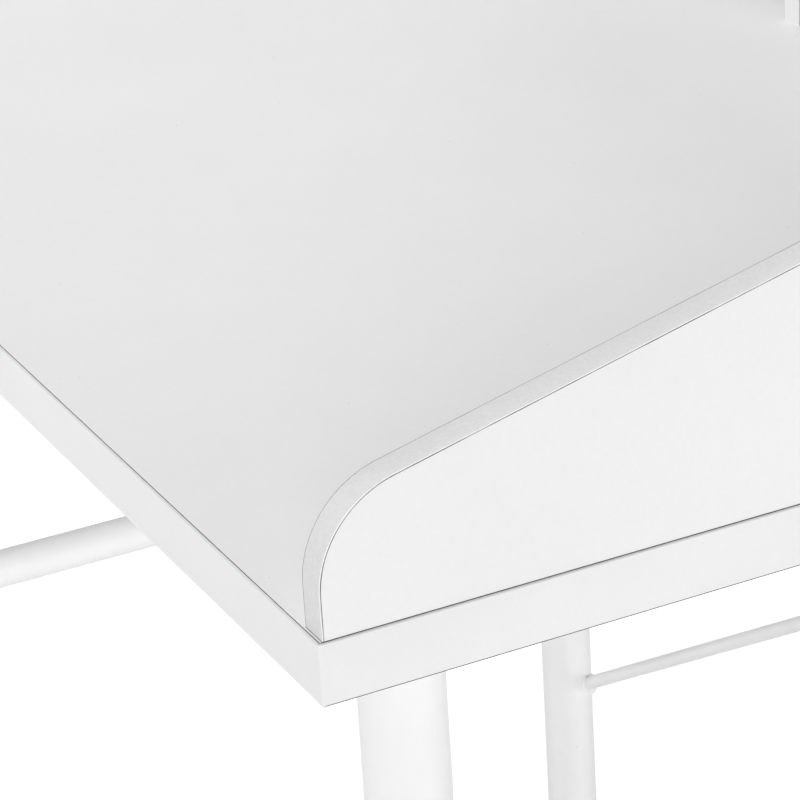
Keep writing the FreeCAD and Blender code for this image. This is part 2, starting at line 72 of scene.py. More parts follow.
BODY = "desk"
CORNERS = ("front_left", "front_right", "rear_left", "rear_right")
SIDES = ("left", "right")
BOARDS = ("desktop", "side_panel_left", "side_panel_right", "back_panel", "shelf", "divider")
# The finishes by name, as the finish step makes them
FINISHES = {}
EFFECTS = {}
X_AXIS = Vector((1, 0, 0))
Y_AXIS = Vector((0, 1, 0))
Z_AXIS = Vector((0, 0, 1))
TURN = 2 * math.pi
MM = 0.001
CLOSE = 0.01 * MM


def length(name, description, default):
    """A length in metres that a user may change."""
    return FloatProperty(name=name, description=description, default=default, min=0, precision=5,
                         subtype="DISTANCE", unit="LENGTH")


def angle(name, description, default):
    """An angle that a user may change, its default given in degrees."""
    return FloatProperty(name=name, description=description, default=math.radians(default),
                         subtype="ANGLE", unit="ROTATION")


def level(name, description, default):
    """A plain factor that a user may change."""
    return FloatProperty(name=name, description=description, default=default, min=0)


def colour(name, description, default):
    """A colour that a user may change."""
    return FloatVectorProperty(name=name, description=description, default=default, min=0, max=1,
                               size=3, subtype="COLOR")


class DeskSizes(bpy.types.PropertyGroup):
    """Sizes of the pieces that the frame's boxes don't give."""
    top_band_round: length("Top Band Arris", "Radius of the desktop bands' outer edges", 0.6 * MM)
    band_thickness: length("Band Thickness", "Thickness of the upper boards' edge bands", 0.5 * MM)
    band_round: length("Band Arris", "Radius of the upper bands' outer edges", 0.25 * MM)
    panel_front_height: length("Panel Front Height", "Height where the slope meets the front", 43.5 * MM)
    panel_slope: angle("Panel Slope", "Rise of the side panels' top edge", 13.3)
    panel_front_round: length("Panel Front Round", "Radius of the side panels' front corner", 36 * MM)
    panel_rear_round: length("Panel Rear Round", "Radius of the side panels' rear corner", 6 * MM)
    glue_width: length("Glue Line Width", "Width of the glue lines at the desktop's bands", 0.32 * MM)
    panel_glue_width: length("Inner Glue Width", "Width of the upper boards' other glue lines", 0.23 * MM)
    outer_glue_width: length("Outer Glue Width", "Width of the glue line outside each panel", 0.32 * MM)
    # Painted shade: height of the dark line under each upright board's foot
    foot_shade_height: length("Board Joint Width", "Height of the joint under each upright board", 0.25 * MM)
    arris_turn: angle("Lower Line Turn", "How far round the arris the lower line lies", 20)
    # Painted shade: width of the grey line along each panel band's inner arris
    arris_shade_width: length("Scrape Line Width", "Width of the grey line along a scraped arris", 0.3 * MM)
    glue_proud: length("Glue Line Height", "How far a glue line stands out of its boards", 0.02 * MM)
    tube_wall: length("Leg Wall", "Wall of the leg tubes", 1.5 * MM)
    plate_round: length("Plate Corner", "Corner radius of the leg plates", 8 * MM)
    rod_diameter: length("Brace Rod Diameter", "Diameter of the two brace rods", 8.3 * MM)
    rod_low: length("Brace Low End", "Height of a rod's lower end at the leg's axis", 206.2 * MM)
    rod_high: length("Brace High End", "Height of a rod's upper end at the leg's axis", 667.2 * MM)
    weld_flare: length("Weld Flare", "Diameter of a rod's weld at the leg", 15 * MM)
    weld_reach: length("Weld Reach", "How far a weld runs out along its rod", 3.5 * MM)
    thread_pitch: length("Foot Thread Pitch", "Rise of a foot's thread in one turn", 1.25 * MM)


class DeskFinishes(bpy.types.PropertyGroup):
    """Colours of the desk's materials."""
    laminate: colour("Laminate", "Melamine faces of the boards", (0.84, 0.84, 0.84))
    top_band: colour("Top Band", "Plastic bands of the desktop and divider", (0.83, 0.83, 0.83))
    panel_band: colour("Panel Band", "Plastic bands of the panels and shelf", (0.74, 0.74, 0.74))
    # The glue colour also paints the shade in the gap under the upright boards
    glue: colour("Glue Line", "Melted glue and dirt in the band joints", (0.03, 0.029, 0.028))
    tube: colour("Tube Coat", "Powder coat on legs, stretchers and brace", (0.87, 0.87, 0.87))
    foot: colour("Foot Plastic", "Moulded inserts, pads and plugs", (0.42, 0.42, 0.43))
    zinc: colour("Zinc", "Screws, bolts, stems and cams", (0.60, 0.61, 0.62))
    dowel: colour("Dowel", "Beech dowels", (0.62, 0.44, 0.26))


class DeskStudio(bpy.types.PropertyGroup):
    """Camera, lamps and floor."""
    azimuth: angle("Azimuth", "Camera direction round the desk, from the front towards the right", 64.652)
    elevation: angle("Elevation", "Camera direction above the horizon", 24.318)
    roll: angle("Roll", "Camera turn about its own axis", -3.635)
    position: FloatVectorProperty(name="Position", description="Place of the camera", size=3,
                                  default=(1.26424, -0.64699, 1.24631), subtype="XYZ", unit="LENGTH")
    focal_length: FloatProperty(name="Focal Length", default=153.53, min=1,
                                description="Lens on a 36 mm wide sensor, in millimetres")
    ambient: level("Ambient", "Strength of the light from all round", 0.28)
    key_light: level("Key Light", "Power of the large lamp at the front right, in watts", 710)
    fill_light: level("Fill Light", "Power of the lamp at the front left, in watts", 16)
    rear_light: level("Rear Light", "Power of the low lamp at the rear right, in watts", 23)
    top_light: level("Top Light", "Power of the lamp overhead, in watts", 8.7)
    near_glow: level("Near Floor Glow", "White added to the seen floor under the desk", 0.35)
    far_glow: level("Far Floor Glow", "White added to the seen floor far from the desk", 0.75)


def islands(node):
    """Boxes of the separate solids in a CAD node, as lowest and highest corners, from left to right."""
    mesh = frame["nodes"][node].data
    keys = [tuple(round(value / CLOSE) for value in vertex.co) for vertex in mesh.vertices]
    parent = {key: key for key in keys}

    def root(key):
        while parent[key] != key:
            parent[key] = parent[parent[key]]
            key = parent[key]
        return key

    for face in mesh.polygons:
        first = root(keys[face.vertices[0]])
        for index in face.vertices[1:]:
            parent[root(keys[index])] = first
    groups = {}
    for key, vertex in zip(keys, mesh.vertices):
        groups.setdefault(root(key), []).append(vertex.co)
    boxes = [(Vector(map(min, *points)), Vector(map(max, *points))) for points in groups.values()]
    return sorted(boxes, key=lambda box: tuple(round(value / MM) for value in (box[0] + box[1]) / 2))


def middle(node):
    """Centre of a CAD node's box."""
    low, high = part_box(node)
    return (low + high) / 2


def half_width(node):
    """Half of a CAD node's width, which is the radius of a round one."""
    low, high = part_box(node)
    return (high.x - low.x) / 2


def under(node):
    """The place at floor height under a CAD node's middle."""
    centre = middle(node)
    return Matrix.Translation((centre.x, centre.y, 0))


def aimed(place, direction, axis="Z"):
    """A place whose given axis points in a direction."""
    return Matrix.Translation(place) @ direction.to_track_quat(axis, "Y").to_matrix().to_4x4()


def quarter(steps, first=0):
    """Angles that run through a quarter turn in equal steps, from the first step on."""
    return [math.pi / 2 * step / steps for step in range(first, steps + 1)]


def mesh_of(name, bm):
    """Turns a bmesh into a mesh and frees it."""
    mesh = bpy.data.meshes.new(name)
    bm.to_mesh(mesh)
    bm.free()
    return mesh


def linked(name, data):
    """A new object in the scene with the given data."""
    item = bpy.data.objects.new(name, data)
    bpy.context.scene.collection.objects.link(item)
    return item


def piece(name, bm, finish, nodes=(), body=BODY, sharp=35):
    """Turns a bmesh into a piece that rides on a body and stands for CAD nodes; sharp is in degrees."""
    bmesh.ops.recalc_face_normals(bm, faces=bm.faces)
    mesh = mesh_of(name, bm)
    mesh.shade_smooth()
    mesh.set_sharp_from_angle(angle=math.radians(sharp))
    mesh.materials.append(FINISHES[finish])
    item = linked(name, mesh)
    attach(item, body)
    if nodes:
        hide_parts(*nodes)


def dress(node, finish):
    """Gives a CAD node that stays in view its finish."""
    item = frame["nodes"][node]
    if not item.material_slots:
        item.data.materials.append(FINISHES[finish])
    for slot in item.material_slots:
        slot.material = FINISHES[finish]


def lathe(bm, profile, segments, place=Matrix(), radius_at=None, loop=False):
    """Turns (radius, height) pairs about the upright axis; radius 0 closes an end, loop joins both ends."""
    rings = []
    for radius, height in profile:
        if radius == 0:
            rings.append([bm.verts.new(place @ Vector((0, 0, height)))])
            continue
        ring = []
        for step in range(segments):
            turned = TURN * step / segments
            reach = radius_at(turned, radius, height) if radius_at else radius
            spot = Vector((reach * math.cos(turned), reach * math.sin(turned), height))
            ring.append(bm.verts.new(place @ spot))
        rings.append(ring)
    pairs = list(zip(rings, rings[1:]))
    if loop:
        pairs.append((rings[-1], rings[0]))
    for low, high in pairs:
        for step in range(segments):
            after = (step + 1) % segments
            if len(low) == 1:
                bm.faces.new((low[0], high[step], high[after]))
            elif len(high) == 1:
                bm.faces.new((low[step], low[after], high[0]))
            else:
                bm.faces.new((low[step], low[after], high[after], high[step]))


def rounded_lip(radius, height, size):
    """Profile of a rounded lower lip on a turned piece."""
    return [(radius - size, height), (radius - 0.3 * size, height + 0.3 * size), (radius, height + size)]


def sweep(bm, sections):
    """Joins closed cross-sections of equal count into one solid with flat ends."""
    rings = [[bm.verts.new(point) for point in section] for section in sections]
    for low, high in zip(rings, rings[1:]):
        for step in range(len(low)):
            after = (step + 1) % len(low)
            bm.faces.new((low[step], low[after], high[after], high[step]))
    bm.faces.new(rings[0][::-1])
    bm.faces.new(rings[-1])


def slab(bm, low, high):
    """Adds a box between two corners."""
    move = Matrix.Translation((low + high) / 2) @ Matrix.Diagonal((*(high - low), 1))
    bmesh.ops.create_cube(bm, size=1, matrix=move)


def bevel(bm, edges, radius, segments=5):
    """Rounds the given edges."""
    bmesh.ops.bevel(bm, geom=list(edges), offset=radius, segments=segments, profile=0.5, affect="EDGES",
                    clamp_overlap=True)


def strip(name, node, outward, radius, finish, round_ends=False):
    """An edge band in its CAD node's place, its outer arrises rounded."""
    bm = bmesh.new()
    slab(bm, *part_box(node))
    face = max(outward.dot(vertex.co) for vertex in bm.verts)
    longest = max(edge.calc_length() for edge in bm.edges)
    outer = [edge for edge in bm.edges if all(face - outward.dot(vertex.co) < CLOSE for vertex in edge.verts)]
    bevel(bm, [edge for edge in outer if round_ends or edge.calc_length() > longest - CLOSE], radius)
    piece(name, bm, finish, (node,))


def seam(bm, course, width, proud):
    """A thin raised line along points that are given with their side and outward directions."""
    sections = []
    for point, side, outward in course:
        half = side * width / 2
        rise = outward * proud
        sections.append([point - half - rise, point + half - rise, point + half + rise, point - half + rise])
    sweep(bm, sections)


def straight_seam(bm, start, end, outward, width, proud):
    """A thin raised line between two points on a flat face."""
    side = (end - start).normalized().cross(outward)
    seam(bm, ((start, side, outward), (end, side, outward)), width, proud)


def outline(low, high, height):
    """Start and end of each side of a box's outline, seen from above, at a height."""
    across = ((low.x, low.y), (high.x, low.y), (high.x, high.y), (low.x, high.y))
    corners = [Vector((x, y, height)) for x, y in across]
    return zip(corners, corners[1:] + corners[:1])


def carve(bm, tool):
    """Takes one bmesh away from another and gives the result."""
    items = []
    for name, source in (("carve_target", bm), ("carve_tool", tool)):
        bmesh.ops.recalc_face_normals(source, faces=source.faces)
        items.append(linked(name, mesh_of(name, source)))
    modifier = items[0].modifiers.new("Recess", "BOOLEAN")
    modifier.operation = "DIFFERENCE"
    modifier.solver = "EXACT"
    modifier.object = items[1]
    carved = bpy.data.meshes.new_from_object(items[0].evaluated_get(bpy.context.evaluated_depsgraph_get()))
    result = bmesh.new()
    result.from_mesh(carved)
    for mesh in [item.data for item in items] + [carved]:
        bpy.data.meshes.remove(mesh)
    return result


def cross_recess(bm, span, width, depth):
    """Cuts a cross-shaped driver recess down into a head whose top is at height 0."""
    for x, y in ((span, width), (width, span)):
        bar = bmesh.new()
        half = Vector((x / 2, y / 2, depth))
        slab(bar, -half, half)
        bm = carve(bm, bar)
    return bm


def copies(bm, places):
    """One bmesh that holds a copy of the given one at each place."""
    pattern = mesh_of("pattern", bm)
    result = bmesh.new()
    for place in places:
        moved = pattern.copy()
        moved.transform(place)
        result.from_mesh(moved)
        bpy.data.meshes.remove(moved)
    bpy.data.meshes.remove(pattern)
    return result


def panel_outline(sizes, node, inset):
    """Points and outward directions along a side panel's edge, from its front foot to its rear foot."""
    low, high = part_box(node)
    slope = sizes.panel_slope

    def corner(middle_y, radius, first, last, steps):
        rise = (middle_y - low.y) * math.tan(slope) - radius / math.cos(slope)
        centre = Vector((0, middle_y, low.z + sizes.panel_front_height + rise))
        for step in range(steps + 1):
            turned = first + (last - first) * step / steps
            direction = Vector((0, math.cos(turned), math.sin(turned)))
            yield centre + direction * (radius - inset), direction

    square = math.pi / 2 + slope
    front = corner(low.y + sizes.panel_front_round, sizes.panel_front_round, math.pi, square, 40)
    rear = corner(high.y - sizes.panel_rear_round, sizes.panel_rear_round, square, 0, 16)
    foot = (Vector((0, low.y + inset, low.z)), -Y_AXIS)
    heel = (Vector((0, high.y - inset, low.z)), Y_AXIS)
    return [foot, *front, *rear, heel]


# Shader effects that several finishes share


def add(tree, kind, sockets=(), **settings):
    """Adds a shader node with its settings; a socket is linked to another node's output or set to a value."""
    made = tree.nodes.new(kind)
    for name, value in settings.items():
        setattr(made, name, value)
    for name, value in dict(sockets).items():
        if isinstance(value, bpy.types.NodeSocket):
            tree.links.new(value, made.inputs[name])
        else:
            made.inputs[name].default_value = value
    return made


def maths(tree, operation, *values, clamp=False):
    """Adds a Math node and gives its output."""
    sockets = dict(enumerate(values))
    return add(tree, "ShaderNodeMath", sockets, operation=operation, use_clamp=clamp).outputs[0]


def own_place(tree):
    """The shaded point's place in its piece."""
    return add(tree, "ShaderNodeTexCoord").outputs["Object"]


def effect(name, inputs, outputs):
    """Starts a shader node group with its named inputs and outputs."""
    tree = bpy.data.node_groups.new(name, "ShaderNodeTree")
    for label, default in inputs.items():
        socket = tree.interface.new_socket(label, in_out="INPUT", socket_type="NodeSocketFloat")
        socket.default_value = default
    for label in outputs:
        tree.interface.new_socket(label, in_out="OUTPUT", socket_type="NodeSocketFloat")
    return tree, tree.nodes.new("NodeGroupInput"), tree.nodes.new("NodeGroupOutput")


def orange_peel():
    """Height of the fine pebbling that a press plate, an extruder or a spray coat leaves."""
    tree, given, result = effect("Orange Peel", {"Scale": 900, "Fine Share": 0.3}, ["Height"])
    fineness = 3.1
    place = own_place(tree)
    coarse = add(tree, "ShaderNodeTexNoise", {"Vector": place, "Scale": given.outputs["Scale"], "Detail": 1})
    finer = maths(tree, "MULTIPLY", given.outputs["Scale"], fineness)
    fine = add(tree, "ShaderNodeTexNoise", {"Vector": place, "Scale": finer, "Detail": 2})
    mixed = add(tree, "ShaderNodeMix", {"Factor": given.outputs["Fine Share"], "A": coarse.outputs[0],
                                        "B": fine.outputs[0]}, data_type="FLOAT")
    tree.links.new(mixed.outputs["Result"], result.inputs["Height"])
    return tree


def soft_mottle():
    """A cloudy value from 0 to 1: uneven coat, wiped marks and handling."""
    tree, given, result = effect("Soft Mottle", {"Scale": 9, "Contrast": 0.5}, ["Value"])
    mean, gain = 0.5, 4
    place = own_place(tree)
    cloud = add(tree, "ShaderNodeTexNoise", {"Vector": place, "Scale": given.outputs["Scale"], "Detail": 5,
                                             "Roughness": 0.62})
    centred = maths(tree, "SUBTRACT", cloud.outputs[0], mean)
    steepness = maths(tree, "MULTIPLY", given.outputs["Contrast"], gain)
    value = maths(tree, "MULTIPLY_ADD", centred, steepness, mean, clamp=True)
    tree.links.new(value, result.inputs["Value"])
    return tree


def fine_specks():
    """A mask of scattered pin-point specks, as dust pressed into a coat leaves."""
    tree, given, result = effect("Fine Specks", {"Scale": 160, "Size": 0.05}, ["Mask"])
    rarity = 6
    place = own_place(tree)
    cell = add(tree, "ShaderNodeTexVoronoi", {"Vector": place, "Scale": given.outputs["Scale"]})
    lottery = add(tree, "ShaderNodeSeparateColor", {"Color": cell.outputs["Color"]})
    limit = maths(tree, "POWER", lottery.outputs[0], rarity)
    reach = maths(tree, "MULTIPLY", limit, given.outputs["Size"])
    mask = maths(tree, "LESS_THAN", cell.outputs["Distance"], reach)
    tree.links.new(mask, result.inputs["Mask"])
    return tree


def use(tree, name, **values):
    """Places a shared effect in a material with its own values and gives its output."""
    makers = {"peel": orange_peel, "mottle": soft_mottle, "specks": fine_specks}
    if name not in EFFECTS:
        EFFECTS[name] = makers[name]()
    made = tree.nodes.new("ShaderNodeGroup")
    made.node_tree = EFFECTS[name]
    for label, value in values.items():
        made.inputs[label.replace("_", " ").title()].default_value = value
    return made.outputs[0]


def shade(base, factor):
    """A colour made darker or lighter, with full opacity."""
    return (*(min(1, part * factor) for part in base), 1)


def blend(tree, factor, first, second):
    """Mixes two colours by a value."""
    made = add(tree, "ShaderNodeMix", {0: factor}, data_type="RGBA")
    for socket, value in ((made.inputs[6], first), (made.inputs[7], second)):
        if isinstance(value, bpy.types.NodeSocket):
            tree.links.new(value, socket)
        else:
            socket.default_value = value
    return made.outputs[2]


def spread(tree, value, low, high):
    """Turns a value from 0 to 1 into one between two limits."""
    return add(tree, "ShaderNodeMapRange", {"Value": value, "To Min": low, "To Max": high}).outputs["Result"]


def material(name):
    """Starts a finish and gives its tree with the Principled shader."""
    made = bpy.data.materials.new(name)
    made.use_nodes = True
    FINISHES[name] = made
    return made.node_tree, made.node_tree.nodes["Principled BSDF"]


def fill_in(tree, shader, tint, gloss, height, depth):
    """Feeds a shader its colour, its roughness and a relief of the given depth."""
    relief = add(tree, "ShaderNodeBump", {"Height": height, "Distance": depth, "Strength": 1})
    tree.links.new(tint, shader.inputs["Base Color"])
    tree.links.new(gloss, shader.inputs["Roughness"])
    tree.links.new(relief.outputs["Normal"], shader.inputs["Normal"])


def coat(name, base, mottle, specks, peel, depth, roughness, fleck):
    """A pale coat: cloudy tint, fine flecks, scattered specks, uneven gloss and a fine relief."""
    tree, shader = material(name)
    cloud = use(tree, "mottle", scale=mottle, contrast=0.5)
    tint = blend(tree, cloud, shade(base, 0.97), shade(base, 1.025))
    grain = use(tree, "mottle", scale=peel / 2, contrast=0.6)
    tint = blend(tree, spread(tree, grain, 0, fleck), tint, shade(base, 0.8))
    dust = use(tree, "specks", scale=specks, size=0.08)
    tint = blend(tree, dust, tint, shade(base, 0.78))
    fill_in(tree, shader, tint, spread(tree, cloud, *roughness), use(tree, "peel", scale=peel), depth)


def clouded(name, tints, mottle, contrast, roughness, peel, depth, fine_share=0.3, metallic=0):
    """A plain finish: two tints and two levels of gloss in clouds, over a fine relief."""
    tree, shader = material(name)
    shader.inputs["Metallic"].default_value = metallic
    cloud = use(tree, "mottle", scale=mottle, contrast=contrast)
    height = use(tree, "peel", scale=peel, fine_share=fine_share)
    fill_in(tree, shader, blend(tree, cloud, *tints), spread(tree, cloud, *roughness), height, depth)


def painted_arris_shading(name, axis, tint):
    """Tints a coat where its faces turn towards an axis, painting shade or a highlight along a band's
    arrises.
    """
    tree = FINISHES[name].node_tree
    base = tree.nodes["Principled BSDF"].inputs["Base Color"]
    facing = add(tree, "ShaderNodeSeparateXYZ", {"Vector": add(tree, "ShaderNodeTexCoord").outputs["Normal"]})
    turned = maths(tree, "ABSOLUTE", facing.outputs[axis])
    # Mask of the painted shading: 1 where faces turn towards the axis, 0 where they lie across it
    painted_shading = add(tree, "ShaderNodeMapRange", {"Value": turned, "From Min": 0.15, "From Max": 0.5})
    tree.links.new(blend(tree, painted_shading.outputs["Result"], base.links[0].from_socket, tint), base)


class DESK_OT_finishes(bpy.types.Operator):
    """Makes the desk's materials"""
    bl_idname = "desk.finishes"
    bl_label = "Make Finishes"

    def execute(self, context):
        colours = context.scene.desk_finishes
        self.coats(colours)
        self.joint_lines(colours)
        self.fittings(colours)
        return {"FINISHED"}

    @staticmethod
    def coats(colours):
        """Satin melamine, plastic bands with painted shade on the desktop bands' upper faces and a painted
        highlight on the panel bands' arrises, and powder coat with a soft orange peel.
        """
        coat("white_laminate", colours.laminate, mottle=7, specks=170, peel=1100, depth=0.015 * MM,
             roughness=(0.40, 0.50), fleck=0.12)
        coat("white_top_band", colours.top_band, mottle=16, specks=240, peel=1500, depth=0.02 * MM,
             roughness=(0.36, 0.48), fleck=0.12)
        # Painted shade: the desktop bands' upward and downward faces are tinted darker
        painted_arris_shading("white_top_band", "Z", shade(colours.top_band, 0.8))
        coat("white_panel_band", colours.panel_band, mottle=16, specks=240, peel=1300, depth=0.07 * MM,
             roughness=(0.36, 0.48), fleck=0.5)
        # Painted highlight: the panel bands' arrises and edges are tinted lighter
        painted_arris_shading("white_panel_band", "X", shade(colours.panel_band, 1.24))
        coat("white_powder_coat", colours.tube, mottle=22, specks=130, peel=520, depth=0.02 * MM,
             roughness=(0.28, 0.38), fleck=0.06)

    @staticmethod
    def joint_lines(colours):
        """Glue and dirt in a joint, which also paints the shade under the upright boards' feet, a thinner
        line that shows in dashes, and a grey line of painted shade along a band's inner arris.
        """
        relief = {"peel": 2400, "depth": 0.02 * MM}
        glue, band = colours.glue, colours.panel_band
        clouded("glue_line", (shade(glue, 1), shade(glue, 3)), mottle=55, contrast=0.9,
                roughness=(0.6, 0.85), **relief)
        clouded("broken_glue_line", (shade(glue, 1), shade(band, 0.4)), mottle=42, contrast=1.6,
                roughness=(0.6, 0.45), **relief)
        # Painted shade: the finish of the grey line along the panel bands' inner arris
        clouded("painted_arris_shading", (shade(band, 0.3), shade(band, 0.6)), mottle=30, contrast=0.8,
                roughness=(0.6, 0.8), **relief)

    @staticmethod
    def fittings(colours):
        """Moulded plastic with a spark-eroded grain, cloudy zinc plate, and beech with its rays."""
        clouded("foot_plastic", (shade(colours.foot, 0.9), shade(colours.foot, 1.1)), mottle=60, contrast=0.5,
                roughness=(0.5, 0.66), peel=2600, depth=0.03 * MM, fine_share=0.6)
        clouded("zinc_plate", (shade(colours.zinc, 0.85), shade(colours.zinc, 1.1)), mottle=180, contrast=0.7,
                roughness=(0.25, 0.42), peel=3200, depth=0.006 * MM, fine_share=0.8, metallic=1)
        tree, shader = material("beech_dowel")
        place = own_place(tree)
        grain = add(tree, "ShaderNodeTexWave", {"Vector": place, "Scale": 900, "Distortion": 5, "Detail": 3},
                    wave_type="BANDS", bands_direction="Y").outputs["Fac"]
        tint = blend(tree, grain, shade(colours.dowel, 0.82), shade(colours.dowel, 1.1))
        fill_in(tree, shader, tint, spread(tree, grain, 0.6, 0.75), grain, 0.05 * MM)


class DESK_OT_boards(bpy.types.Operator):
    """Gives the desktop, panels, shelf and divider their laminate"""
    bl_idname = "desk.boards"
    bl_label = "Finish Boards"

    def execute(self, context):
        for node in BOARDS:
            dress(node, "white_laminate")
        return {"FINISHED"}


class DESK_OT_straight_bands(bpy.types.Operator):
    """Builds the straight edge bands of the desktop, back panel, shelf and divider"""
    bl_idname = "desk.straight_bands"
    bl_label = "Build Straight Bands"

    def execute(self, context):
        sizes = context.scene.desk_sizes
        for edge, outward, round_ends in (("front", -Y_AXIS, True), ("rear", Y_AXIS, True),
                                          ("left", -X_AXIS, False), ("right", X_AXIS, False)):
            strip(f"top_edge_{edge}", f"desktop_band_{edge}", outward, sizes.top_band_round, "white_top_band",
                  round_ends)
        for board, outward, finish in (("back_panel", Z_AXIS, "white_panel_band"),
                                       ("shelf", -Y_AXIS, "white_panel_band"),
                                       ("divider", -Y_AXIS, "white_top_band")):
            strip(f"{board}_edge", f"{board}_band", outward, sizes.band_round, finish)
        return {"FINISHED"}


class DESK_OT_panel_bands(bpy.types.Operator):
    """Builds the band that is bent round each side panel's front, slope and rear"""
    bl_idname = "desk.panel_bands"
    bl_label = "Build Panel Bands"

    def execute(self, context):
        sizes = context.scene.desk_sizes
        for side in SIDES:
            node = f"side_panel_band_{side}"
            low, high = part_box(node)
            bm = bmesh.new()
            sweep(bm, [self.section(sizes, low.x, high.x, point, direction)
                       for point, direction in panel_outline(sizes, node, 0)])
            piece(f"panel_edge_{side}", bm, "white_panel_band", (node,))
        return {"FINISHED"}

    @staticmethod
    def section(sizes, left, right, point, direction):
        """The band's cross-section at one point: square inside, rounded at both outer arrises."""
        radius = sizes.band_round
        corner = [(radius * (1 - math.cos(turned)), radius * (math.sin(turned) - 1)) for turned in quarter(4)]
        flat = [(left, -sizes.band_thickness)]
        flat += [(left + x, depth) for x, depth in corner]
        flat += [(right - x, depth) for x, depth in reversed(corner)]
        flat += [(right, -sizes.band_thickness)]
        return [point + direction * depth + X_AXIS * x for x, depth in flat]


class DESK_OT_glue_lines(bpy.types.Operator):
    """Builds the dark glue lines at the bands, a dark line along the desktop side bands' lower arris, and
    painted shade at the feet of the upper boards and along the panel bands' inner arris
    """
    bl_idname = "desk.glue_lines"
    bl_label = "Build Glue Lines"

    def execute(self, context):
        sizes = context.scene.desk_sizes
        self.top_lines(sizes)
        for side in SIDES:
            self.panel_lines(sizes, side)
        self.board_lines(sizes)
        return {"FINISHED"}

    @staticmethod
    def top_lines(sizes):
        """Round the desktop's core on both faces, and along the lower arris of its two side bands."""
        low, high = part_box("desktop")
        bm = bmesh.new()
        for height, outward in ((high.z, Z_AXIS), (low.z, -Z_AXIS)):
            for start, end in outline(low, high, height):
                straight_seam(bm, start, end, outward, sizes.glue_width, sizes.glue_proud)
        piece("top_glue_lines", bm, "glue_line")
        # A dark line along the lower arris of each side band, in the glue lines' dark finish
        bm = bmesh.new()
        for side, sideways in zip(SIDES, (-X_AXIS, X_AXIS)):
            band_low, band_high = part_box(f"desktop_band_{side}")
            outward = sideways * math.cos(sizes.arris_turn) - Z_AXIS * math.sin(sizes.arris_turn)
            x = band_high.x if side == "right" else band_low.x
            centre = Vector((x, 0, low.z)) + sizes.top_band_round * (outward - sideways + Z_AXIS)
            straight_seam(bm, centre + Y_AXIS * band_low.y, centre + Y_AXIS * band_high.y, outward,
                          sizes.glue_width, sizes.glue_proud)
        piece("lower_arris_lines", bm, "glue_line")

    def panel_lines(self, sizes, side):
        """Glue lines along the bent band on both faces, painted shade round the panel's foot, and a painted
        shade line along the band's inner arris.
        """
        node = f"side_panel_band_{side}"
        low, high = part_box(node)
        widths = [sizes.outer_glue_width, sizes.panel_glue_width]
        inner = high.x - sizes.arris_shade_width
        if side == "right":
            widths.reverse()
            inner = low.x + sizes.arris_shade_width
        bm = bmesh.new()
        for x, outward, width in zip((low.x, high.x), (-X_AXIS, X_AXIS), widths):
            course = [(point + X_AXIS * x, direction, outward)
                      for point, direction in panel_outline(sizes, node, sizes.band_thickness)]
            seam(bm, course, width, sizes.glue_proud)
        piece(f"panel_glue_lines_{side}", bm, "broken_glue_line")
        self.foot_shade_line(f"panel_foot_joint_{side}", sizes, low, high)
        # Painted shade: a grey line along the band's inner arris
        bm = bmesh.new()
        course = [(point + X_AXIS * inner, X_AXIS, direction)
                  for point, direction in panel_outline(sizes, node, 0)]
        seam(bm, course, sizes.arris_shade_width, sizes.glue_proud)
        piece(f"panel_arris_shade_line_{side}", bm, "painted_arris_shading")

    def board_lines(self, sizes):
        """Glue lines at the bands of the back panel, shelf and divider, and painted shade at the divider's
        foot.
        """
        bm = bmesh.new()
        for node, inward, faces in (("shelf_band", Y_AXIS, (-Z_AXIS, Z_AXIS)),
                                    ("divider_band", Y_AXIS, (-X_AXIS, X_AXIS)),
                                    ("back_panel_band", -Z_AXIS, (-Y_AXIS, Y_AXIS))):
            low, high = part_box(node)
            centre = (low + high) / 2
            half = (high - low) / 2
            run = half * inward.cross(faces[0])
            for outward in faces:
                seat = centre + half * (inward + outward)
                straight_seam(bm, seat - run, seat + run, outward, sizes.panel_glue_width, sizes.glue_proud)
        piece("board_glue_lines", bm, "broken_glue_line")
        self.foot_shade_line("divider_foot_joint", sizes, *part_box("divider"))

    @staticmethod
    def foot_shade_line(name, sizes, low, high):
        """Painted shade: a dark line round an upright board's foot, where the gap under it lies in shade."""
        bm = bmesh.new()
        for start, end in outline(low, high, low.z + sizes.foot_shade_height / 2):
            outward = (end - start).normalized().cross(Z_AXIS)
            straight_seam(bm, start, end, outward, sizes.foot_shade_height, sizes.glue_proud)
        # Painted shade, in the glue lines' dark finish
        piece(name, bm, "glue_line")


class DESK_OT_legs(bpy.types.Operator):
    """Builds the leg tubes with the weld fillet under their plates"""
    bl_idname = "desk.legs"
    bl_label = "Build Legs"

    def execute(self, context):
        wall = context.scene.desk_sizes.tube_wall
        fillet, lip = 3 * MM, 0.4 * MM
        for corner in CORNERS:
            node = f"leg_{corner}"
            low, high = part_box(node)
            radius = half_width(node)
            profile = [(radius - wall, low.z), *rounded_lip(radius, low.z, lip)]
            profile += [(radius + fillet * (1 - math.sin(turned)), high.z - fillet * (1 - math.cos(turned)))
                        for turned in reversed(quarter(6))]
            profile += [(radius - wall, high.z)]
            bm = bmesh.new()
            lathe(bm, profile, 96, under(node), loop=True)
            piece(f"leg_tube_{corner}", bm, "white_powder_coat", (node,))
        return {"FINISHED"}


